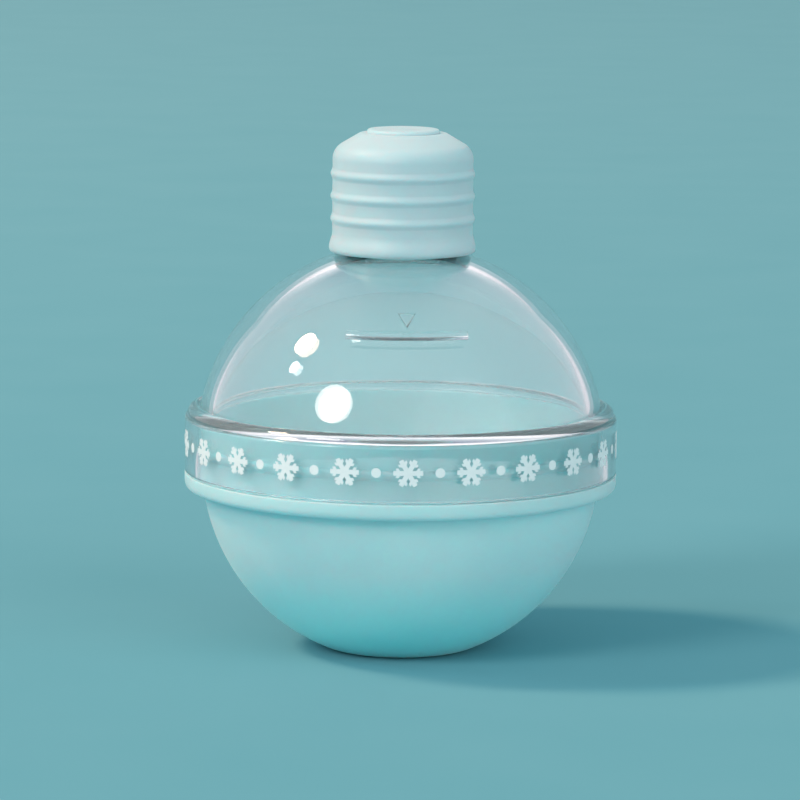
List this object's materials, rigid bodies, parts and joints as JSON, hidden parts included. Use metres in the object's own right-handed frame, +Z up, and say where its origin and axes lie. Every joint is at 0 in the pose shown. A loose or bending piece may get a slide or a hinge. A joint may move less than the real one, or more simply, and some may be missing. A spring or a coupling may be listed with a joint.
{
  "type": "ice ball mold",
  "caption": "Round ice ball mold: a soft bowl with a flat foot, a clear dome with a skirt and fill line that pushes over its rim, and a ribbed soft cap on the fill neck.",
  "frame": {"origin": "centre of the flat foot, on the surface that the mold stands on", "axes": "+Z up along the common axis of the three pieces; the fill line faces -Y"},
  "size_m": [0.068, 0.068, 0.082],
  "materials": {
    "bowl_silicone": "matt moulded silicone, pale mint",
    "cap_silicone": "matt moulded silicone, pale mint",
    "clear_plastic": "clear polished moulding",
    "white_ink": "pad-printed white ink"
  },
  "bodies": {
    "lower": {"bowl": "bowl_silicone"},
    "upper": {"dome": "clear_plastic"},
    "stopper": {"cap": "cap_silicone"}
  },
  "joints": [
    {"name": "dome_pull_off", "type": "slide", "parent": "lower", "child": "upper", "axis": [0, 0, 1], "range_m": [0, 0.05]},
    {"name": "cap_pull_off", "type": "slide", "parent": "upper", "child": "stopper", "axis": [0, 0, 1], "range_m": [0, 0.03]}
  ]
}
